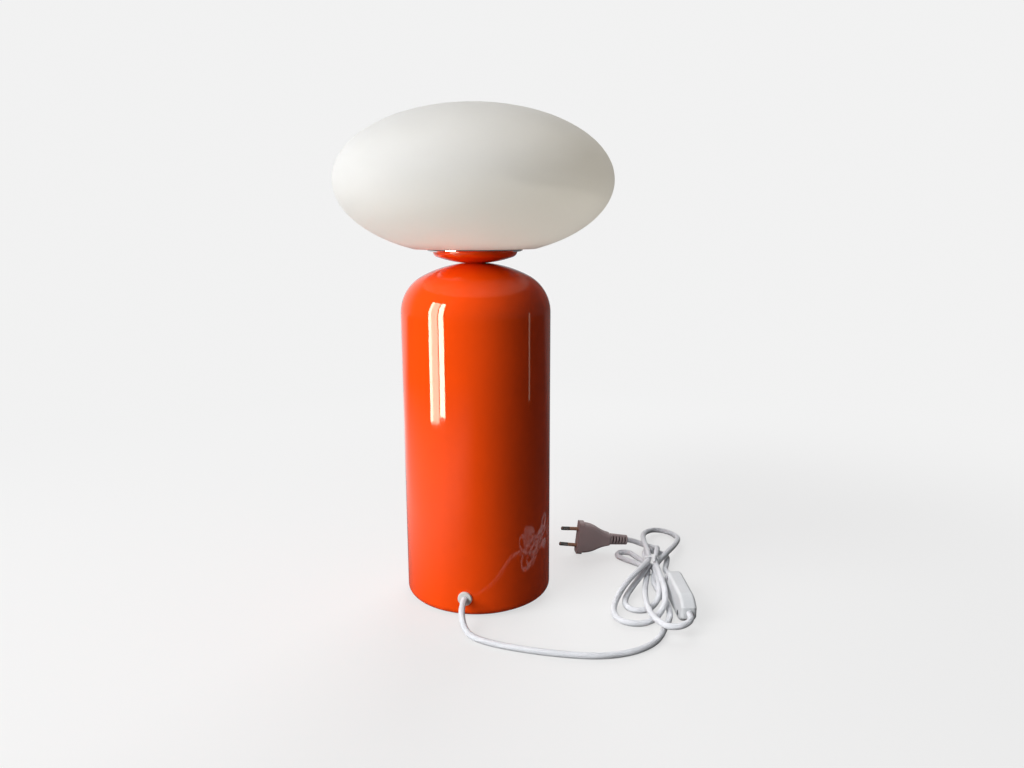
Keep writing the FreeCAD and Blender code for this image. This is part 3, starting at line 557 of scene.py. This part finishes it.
class LAMP_OT_stage(bpy.types.Operator):
    """Make the camera, the pale floor and the soft light"""

    bl_idname = "lamp.stage"
    bl_label = "Stage"

    def execute(self, context):
        stage = context.scene.table_lamp.stage
        self.make_camera(context, stage)
        self.make_floor(context, stage)
        self.make_lights(stage)
        self.make_world(context)
        context.scene.view_settings.view_transform = "Standard"
        return {"FINISHED"}

    def make_camera(self, context, stage):
        bpy.ops.object.camera_add()
        camera = context.object
        camera.name = "photo_camera"
        turn = Matrix.Rotation(-stage.yaw, 4, "Z") @ Matrix.Rotation(math.pi / 2 - stage.pitch, 4, "X")
        place = Matrix.Translation((0, -stage.distance, stage.height))
        camera.matrix_world = place @ turn @ Matrix.Rotation(stage.roll, 4, "Z")
        camera.data.sensor_fit = "HORIZONTAL"
        camera.data.sensor_width = SENSOR_WIDTH
        camera.data.lens = stage.lens
        camera.data.shift_y = SHIFT_PIXELS / PICTURE_WIDTH
        context.scene.camera = camera

    def make_floor(self, context, stage):
        deselect()
        bpy.ops.mesh.primitive_circle_add(vertices=FLOOR_SIDES, radius=FLOOR_RADIUS, fill_type="NGON")
        floor = context.object
        floor.name = "floor"
        finish = Finish("pale_floor", Roughness=0.9)
        bounced = finish.node("LightPath").outputs["Is Diffuse Ray"]
        finish.set(Base_Color=finish.blend(bounced, stage.floor, shade_of(stage.floor, FLOOR_BOUNCE)))
        place = finish.place.outputs["Object"]
        away = finish.node("VectorMath", {0: place}, operation="LENGTH").outputs["Value"]
        far = finish.ease(away, *FLOOR_FADE)
        seen = finish.math("ADD", finish.math("MULTIPLY", far, 1 - FLOOR_PAINTED), FLOOR_PAINTED)
        pale = finish.math("SUBTRACT", FLOOR_TONE, finish.math("MULTIPLY", far, FLOOR_TONE - BACKDROP))
        mirrored = self.mirrored_floor(finish, place, away)
        output = finish.tree.nodes["Material Output"]
        pale_to_view(finish.tree, finish.shader.outputs["BSDF"], output, pale, seen, mirrored)
        floor.data.materials.append(finish.material)

    def mirrored_floor(self, finish, place, away):
        """How much of its tone the floor shows to gloss, by its place."""
        parts = finish.node("SeparateXYZ", {"Vector": place}).outputs
        left = finish.ease(parts["X"], 0.0, -MIRROR_SIDE)
        right = finish.ease(parts["X"], 0.0, MIRROR_SIDE)
        aside = finish.math("MULTIPLY", finish.math("ABSOLUTE", parts["X"]), MIRROR_FAN)
        back = finish.ease(finish.math("SUBTRACT", parts["Y"], aside), 0.0, MIRROR_DEPTH)
        near = finish.math("MULTIPLY", finish.ease(away, *MIRROR_REACH), MIRROR_NEAR)
        lit = finish.math("ADD", near, finish.math("MULTIPLY", back, MIRROR_BACK))
        behind = finish.math("MULTIPLY", finish.math("MULTIPLY", right, back), MIRROR_RIGHT)
        least = finish.math("ADD", behind, MIRROR_LEAST)
        return finish.math("ADD", finish.math("MULTIPLY", left, lit), least)

    def make_lights(self, stage):
        """Soft light from the left and behind, fill lights, and panes that only gloss mirrors."""
        for name, bearing, away, height, extent, share in SOFT_LIGHTS:
            power = stage.soft * share
            self.add_light(
                name, bearing, away, height, (extent, extent), power, LAMP_MIDDLE, glossy=False)
        for name, group, bearing, away, height, target, share, colour in FILL_LIGHTS:
            power = stage.fill * share
            fill = self.add_light(
                name, bearing, away, height, (FILL_EXTENT, FILL_EXTENT), power, target, glossy=False)
            fill.data.color = colour
            fill.light_linking.receiver_collection = light_group(group)
            fill.light_linking.blocker_collection = light_group(group + "_shadow")
        for name, bearing, width, bottom, top, share in PANES:
            height, middle = top - bottom, (top + bottom) / 2
            power = stage.pane * share * math.pi * width * height
            pane = self.add_light(
                name, bearing, PANE_DISTANCE, middle, (width, height), power, (0, 0, middle), diffuse=False)
            pane.data.color = PANE_COLOUR
            pane.light_linking.receiver_collection = light_group("lit_gloss")

    def add_light(self, name, bearing, away, height, extent, power, target, glossy=True, diffuse=True):
        """An area light at a bearing from the camera's side, seen from above, that faces a point."""
        turn = math.radians(bearing)
        place = Vector((math.sin(turn) * away, -math.cos(turn) * away, height))
        bpy.ops.object.light_add(type="AREA", location=place)
        light = bpy.context.object
        light.name = name
        light.rotation_euler = (Vector(target) - place).to_track_quat("-Z", "Y").to_euler()
        light.data.shape = "RECTANGLE"
        light.data.size, light.data.size_y = extent
        light.data.energy = power
        light.visible_camera = False
        light.visible_glossy = glossy
        light.visible_diffuse = diffuse
        return light

    def make_world(self, context):
        """A room that is bright on the left and above, and dark on the right."""
        world = bpy.data.worlds.new("studio")
        context.scene.world = world
        world.use_nodes = True
        tree = world.node_tree
        place = tree.nodes.new("ShaderNodeTexCoord").outputs["Generated"]
        background = tree.nodes["Background"]
        join(tree, background.inputs["Color"], (1, 1, 1, 1))
        join(tree, background.inputs["Strength"], side_glow(tree, place, *ROOM_GLOW))
        mirrored = side_glow(tree, place, *ROOM_MIRRORED)
        output = tree.nodes["World Output"]
        pale_to_view(tree, background.outputs["Background"], output, BACKDROP, 1.0, mirrored)


def side_glow(tree, place, towards, reach, glow):
    """Brightness of the room by direction, from one side to the other."""
    side = tree.nodes.new("ShaderNodeVectorMath")
    side.operation = "DOT_PRODUCT"
    join(tree, side.inputs[0], place)
    join(tree, side.inputs[1], towards)
    ramp = tree.nodes.new("ShaderNodeMapRange")
    ramp.interpolation_type = "SMOOTHSTEP"
    join(tree, ramp.inputs["Value"], side.outputs["Value"])
    for socket, value in zip(("From Min", "From Max", "To Min", "To Max"), (*reach, *glow)):
        join(tree, ramp.inputs[socket], value)
    return ramp.outputs["Result"]


def pale_to_view(tree, shader, output, pale, seen, mirrored):
    """Show the pale backdrop to the camera and through glass, and dimmed to gloss."""
    def combine(operation, first, second):
        node = tree.nodes.new("ShaderNodeMath")
        node.operation = operation
        join(tree, node.inputs[0], first)
        join(tree, node.inputs[1], second)
        return node.outputs["Value"]

    path = tree.nodes.new("ShaderNodeLightPath")
    direct = combine("MAXIMUM", path.outputs["Is Camera Ray"], path.outputs["Is Transmission Ray"])
    gloss = path.outputs["Is Glossy Ray"]
    kind = "Emission" if output.type == "OUTPUT_MATERIAL" else "Background"
    glow = tree.nodes.new("ShaderNode" + kind)
    join(tree, glow.inputs["Color"], (1, 1, 1, 1))
    dimmed = combine("MAXIMUM", direct, combine("MULTIPLY", gloss, mirrored))
    join(tree, glow.inputs["Strength"], combine("MULTIPLY", pale, dimmed))
    shares = combine("MAXIMUM", combine("MULTIPLY", direct, seen), gloss)
    mix = tree.nodes.new("ShaderNodeMixShader")
    join(tree, mix.inputs["Fac"], shares)
    join(tree, mix.inputs[1], shader)
    join(tree, mix.inputs[2], glow.outputs[0])
    join(tree, output.inputs["Surface"], mix.outputs["Shader"])


class LAMP_OT_body(bpy.types.Operator):
    """Lacquer the body and the neck bowl, and finish the foot"""

    bl_idname = "lamp.body"
    bl_label = "Body"

    def execute(self, context):
        wear(lacquer_finish(context.scene.table_lamp.colours.lacquer), "body_shell", "neck_dish")
        put_in_groups(nodes_named(*GLOSSY_NODES), "lit_gloss", "lit_body", "lit_body_shadow")
        wear(metal_finish("rolled_steel", (0.52, 0.53, 0.54), (0.28, 0.45)), "base_plate", "base_screws")
        iron = metal_finish("cast_iron", (0.20, 0.20, 0.21), (0.55, 0.8), scale=300, peel=0.4)
        wear(iron, "ballast_weight")
        foam = moulded_finish("foot_foam", (0.05, 0.05, 0.052), (0.8, 0.95), grain=1400, depth=0.3)
        wear(foam, "foot_pad")
        wear(moulded_finish("bushing_plastic", (0.78, 0.77, 0.75), (0.35, 0.5)), "cord_bushing")
        return {"FINISHED"}


class LAMP_OT_neck(bpy.types.Operator):
    """Plate the gallery and finish what the stem clamps"""

    bl_idname = "lamp.neck"
    bl_label = "Neck"

    def execute(self, context):
        wear(metal_finish("chrome", (0.82, 0.83, 0.84), (0.04, 0.10), scale=220), "gallery")
        zinc = metal_finish("zinc_steel", (0.62, 0.63, 0.65), (0.22, 0.38))
        wear(zinc, "stem_washer", "stem_nut", "stem_tube")
        wear(moulded_finish("gasket_rubber", (0.62, 0.61, 0.58), (0.6, 0.8)), "shade_gasket")
        return {"FINISHED"}


class LAMP_OT_shade(bpy.types.Operator):
    """Finish the opal glass shade"""

    bl_idname = "lamp.shade"
    bl_label = "Shade"

    def execute(self, context):
        wear(glass_finish(context.scene.table_lamp.colours.glass), "glass_shade")
        put_in_groups(nodes_named("glass_shade"), "lit_glass", "lit_glass_shadow")
        put_in_groups(nodes_named(*GLOSSY_NODES), "lit_glass_shadow")
        return {"FINISHED"}


class LAMP_OT_light(bpy.types.Operator):
    """Finish the lampholder and the bulb"""

    bl_idname = "lamp.light"
    bl_label = "Lampholder and bulb"

    def execute(self, context):
        plastic = moulded_finish("holder_plastic", (0.72, 0.72, 0.70), (0.3, 0.45))
        wear(plastic, "holder_cap", "holder_core", "holder_skirt")
        brass = metal_finish("brass", (0.75, 0.56, 0.24), (0.22, 0.4))
        wear(brass, "holder_thread", "centre_contact", "bulb_contact")
        wear(moulded_finish("bulb_plastic", (0.80, 0.80, 0.78), (0.4, 0.55)), "bulb_neck")
        wear(moulded_finish("bulb_opal", (0.86, 0.86, 0.84), (0.5, 0.6)), "bulb_globe")
        return {"FINISHED"}


class LAMP_OT_cap(bpy.types.Operator):
    """Roll the right-handed thread of the bulb's screw cap"""

    bl_idname = "lamp.cap"
    bl_label = "Screw cap"

    def execute(self, context):
        low, high = (Vector(corner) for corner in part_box("bulb_cap"))
        foot = Vector(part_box("bulb_contact")[1]).x + CAP_SHOULDER
        start = low.z + CAP_TAPER
        cap = self.make_blank(context, low, high, foot, start)
        mesh = bmesh.from_edit_mesh(cap.data)
        for face in mesh.faces:
            face.material_index = int(face.calc_center_median().z < start)
        for vertex in mesh.verts:
            height = vertex.co.z
            turn = math.atan2(vertex.co.y, vertex.co.x)
            depth = smooth(start, start + THREAD_START, height) * smooth(high.z, high.z - THREAD_END, height)
            wave = 0.5 - 0.5 * math.cos(math.tau * height / THREAD_PITCH - turn)
            vertex.co.xy *= 1 - depth * THREAD_DEPTH * wave / high.x
        bmesh.update_edit_mesh(cap.data)
        bpy.ops.object.mode_set(mode="OBJECT")
        bpy.ops.object.shade_smooth_by_angle(angle=math.radians(40))
        dress(cap, metal_finish("nickel", (0.70, 0.69, 0.66), (0.18, 0.32)), "bulb", "cap_nickel", "bulb_cap")
        cap.data.materials.append(moulded_finish("cap_insulator", (0.02, 0.02, 0.024), (0.15, 0.25)))
        return {"FINISHED"}

    def make_blank(self, context, low, high, foot, start):
        """The cap without its thread, left in edit mode: a tapered insulator and a ringed sleeve."""
        deselect()
        bpy.ops.mesh.primitive_circle_add(vertices=CAP_SIDES, radius=foot, fill_type="NGON")
        cap = context.object
        cap.name = "screw_cap"
        bpy.ops.object.mode_set(mode="EDIT")
        bpy.ops.transform.translate(value=(0, 0, low.z))
        bpy.ops.mesh.extrude_region_move(TRANSFORM_OT_translate={"value": (0, 0, CAP_TAPER)})
        wider = high.x / foot
        bpy.ops.transform.resize(value=(wider, wider, 1), center_override=(0, 0, start))
        rings = round((high.z - start) / THREAD_PITCH * THREAD_RINGS)
        rise = (high.z - start) / rings
        for ring in range(rings):
            bpy.ops.mesh.extrude_region_move(TRANSFORM_OT_translate={"value": (0, 0, rise)})
        bpy.ops.mesh.select_all(action="SELECT")
        bpy.ops.mesh.normals_make_consistent(inside=False)
        return cap


class LAMP_OT_cord(bpy.types.Operator):
    """Lay the textile cord from the bushing through the hank and the switch to the plug"""

    bl_idname = "lamp.cord"
    bl_label = "Cord"

    def execute(self, context):
        settings = context.scene.table_lamp
        size = settings.cord
        route = spline_object("cord_route", "NURBS", cord_route())
        points, length = points_along(route, size.spacing)
        bpy.data.objects.remove(route)
        tube = tube_along(spline_object("flex_cord", "POLY", points), size.diameter, size.sides // 4)
        braid = braid_finish(settings.colours.cord, length / size.pitch, size.carriers)
        dress(tube, braid, "lamp", "cord_textile", "cord_lead", "hank_feed", "hank_loops", "cord_tail")
        carried = nodes_named(
            "switch_base", "switch_cover", "switch_rocker", "switch_pin", "switch_contacts",
            "switch_screws", "plug_body", "plug_pins", "pin_sleeves")
        carried += [bpy.data.objects[name] for name in ("relief_ladder", "wire_tie")]
        put_in_groups([tube, *carried], "lit_cord", "lit_cord_shadow")
        return {"FINISHED"}


class LAMP_OT_switch(bpy.types.Operator):
    """Finish the inline switch"""

    bl_idname = "lamp.switch"
    bl_label = "Inline switch"

    def execute(self, context):
        plastic = moulded_finish("switch_plastic", context.scene.table_lamp.colours.switch, (0.35, 0.5))
        wear(plastic, "switch_base", "switch_cover", "switch_rocker")
        steel = metal_finish("switch_steel", (0.6, 0.6, 0.62), (0.2, 0.35))
        wear(steel, "switch_pin", "switch_contacts", "switch_screws")
        return {"FINISHED"}


class LAMP_OT_tie(bpy.types.Operator):
    """Twist a coated wire round the waist of the hank"""

    bl_idname = "lamp.tie"
    bl_label = "Wire tie"

    def execute(self, context):
        wire = context.scene.table_lamp.cord.tie
        loop = spline_object("wire_tie", "NURBS", self.ring_points())
        loop.data.splines[0].use_endpoint_u = False
        loop.data.splines[0].use_cyclic_u = True
        for start in (0.0, math.pi):
            add_spline(loop.data, "NURBS", self.tail_points(start, TAIL_TWIST * wire * 1000))
        tie = tube_along(loop, wire, 3)
        finish = moulded_finish("tie_plastic", (0.80, 0.81, 0.82), (0.3, 0.45))
        dress(tie, finish, "lamp", "tie", "hank_tie")
        return {"FINISHED"}

    def ring_points(self):
        """Once round the hank, with rounded corners."""
        up = [(TIE_SIDE, TIE_LOW + TIE_CORNER), (TIE_SIDE, TIE_LOW + TIE_BEND),
              (TIE_SIDE, TIE_TOP - TIE_BEND), (TIE_SIDE, TIE_TOP - TIE_CORNER), (TIE_FLAT, TIE_TOP)]
        down = [(-across, height) for across, height in reversed(up)]
        ring = [(-TIE_FLAT, TIE_LOW), (TIE_FLAT, TIE_LOW), *up, *down]
        return [in_hank(0.0, across, height) for across, height in ring]

    def tail_points(self, start, twist):
        """One of the two tails, which turn round each other along the top of the hank."""
        points = []
        for step in range(TAIL_POINTS):
            turn = start + step * TAIL_TURN
            along = TAIL_AHEAD - TAIL_SPACING * step
            across = TIE_FLAT + twist * math.cos(turn)
            height = TIE_TOP + TAIL_RISE + twist * math.sin(turn)
            points.append(in_hank(along, across, height))
        return points


class LAMP_OT_plug(bpy.types.Operator):
    """Finish the two-pin plug and make its slotted strain relief"""

    bl_idname = "lamp.plug"
    bl_label = "Plug"

    def execute(self, context):
        # The plug's colour holds painted shade and a painted orange bounce from the body.
        colour = context.scene.table_lamp.colours.plug
        finish = moulded_finish("plug_plastic", colour, (0.4, 0.55))
        wear(finish, "plug_body")
        relief = dress(self.make_relief(context), finish, "lamp", "plug_plastic", "plug_relief")
        # The slot floors get the plug's colour at 0.06, a near-black painted shade inside the slots.
        relief.data.materials.append(moulded_finish("slot_painted_shade", shade_of(colour, 0.06), (0.6, 0.75)))
        wear(metal_finish("pin_nickel", (0.56, 0.54, 0.51), (0.15, 0.3)), "plug_pins")
        wear(moulded_finish("sleeve_plastic", (0.28, 0.17, 0.115), (0.4, 0.55)), "pin_sleeves")
        return {"FINISHED"}

    def make_relief(self, context):
        """A tapered sleeve with slots on both faces, so that it bends with the cord."""
        deselect()
        bpy.ops.mesh.primitive_circle_add(vertices=RELIEF_SIDES, radius=RELIEF_RADIUS, fill_type="NGON")
        sleeve = context.object
        sleeve.name = "relief_ladder"
        bpy.ops.object.mode_set(mode="EDIT")
        pitch = RELIEF_LENGTH / (RELIEF_SLOTS + 0.5)
        for step in range(2 * RELIEF_SLOTS + 1):
            rise = pitch * (1 - RIB_SHARE if step % 2 else RIB_SHARE)
            bpy.ops.mesh.extrude_region_move(TRANSFORM_OT_translate={"value": (0, 0, rise)})
            bpy.ops.transform.resize(value=(RELIEF_TAPER, RELIEF_TAPER, 1))
        bpy.ops.mesh.select_all(action="SELECT")
        bpy.ops.mesh.normals_make_consistent(inside=False)
        self.cut_slots(sleeve, pitch)
        bpy.ops.object.mode_set(mode="OBJECT")
        bevel = sleeve.modifiers.new("edges", "BEVEL")
        bevel.width, bevel.segments, bevel.limit_method = RELIEF_EDGE, 2, "ANGLE"
        bpy.ops.object.modifier_apply(modifier=bevel.name)
        upright = (Vector((0, 0, 1)) - PLUG_ALONG * PLUG_ALONG.z).normalized()
        turn = Matrix((upright, PLUG_ALONG.cross(upright), PLUG_ALONG)).transposed().to_4x4()
        sleeve.matrix_world = Matrix.Translation(PLUG_TAIL - PLUG_ALONG * RELIEF_LENGTH) @ turn
        bpy.ops.object.transform_apply(location=True, rotation=True, scale=True)
        bpy.ops.object.shade_smooth_by_angle(angle=math.radians(35))
        return sleeve

    def cut_slots(self, sleeve, pitch):
        """Press the wall in between the ribs, apart from a spine on each side, and give the slot floors the
        painted shade.
        """
        bpy.ops.mesh.select_mode(type="FACE")
        bpy.ops.mesh.select_all(action="DESELECT")
        for face in bmesh.from_edit_mesh(sleeve.data).faces:
            between_ribs = (face.calc_center_median().z / pitch) % 1 > RIB_SHARE and abs(face.normal.z) < 0.5
            if between_ribs and abs(face.normal.x) < SLOT_WIDTH:
                face.select_set(True)
        bmesh.update_edit_mesh(sleeve.data)
        bpy.ops.mesh.extrude_region_shrink_fatten(TRANSFORM_OT_shrink_fatten={"value": -RELIEF_SLOT_DEPTH})
        # Floors of the slots take the second material, the painted shade.
        for face in bmesh.from_edit_mesh(sleeve.data).faces:
            face.material_index = int(face.select)


class LAMP_PT_panel(bpy.types.Panel):
    """The lamp's steps and settings in the sidebar"""

    bl_idname = "LAMP_PT_panel"
    bl_label = "Table lamp"
    bl_space_type = "VIEW_3D"
    bl_region_type = "UI"
    bl_category = "Table lamp"

    def draw(self, context):
        layout = self.layout
        for step in STEPS:
            layout.operator(step.bl_idname)
        settings = context.scene.table_lamp
        for group in (settings.colours, settings.cord, settings.stage):
            box = layout.box()
            for name in group.__annotations__:
                box.prop(group, name)


# The cord comes last, because it puts the pieces on it, made in the steps before, into its light groups.
STEPS = (
    LAMP_OT_stage, LAMP_OT_body, LAMP_OT_neck, LAMP_OT_shade, LAMP_OT_light, LAMP_OT_cap, LAMP_OT_switch,
    LAMP_OT_plug, LAMP_OT_tie, LAMP_OT_cord)
CLASSES = (LampColours, LampCord, LampStage, LampSettings, *STEPS, LAMP_PT_panel)


def register():
    for made in CLASSES:
        bpy.utils.register_class(made)
    bpy.types.Scene.table_lamp = PointerProperty(type=LampSettings)


def unregister():
    del bpy.types.Scene.table_lamp
    for made in reversed(CLASSES):
        bpy.utils.unregister_class(made)


def main():
    register()
    for step in STEPS:
        group, name = step.bl_idname.split(".")
        getattr(getattr(bpy.ops, group), name)()


if __name__ == "__main__":
    main()
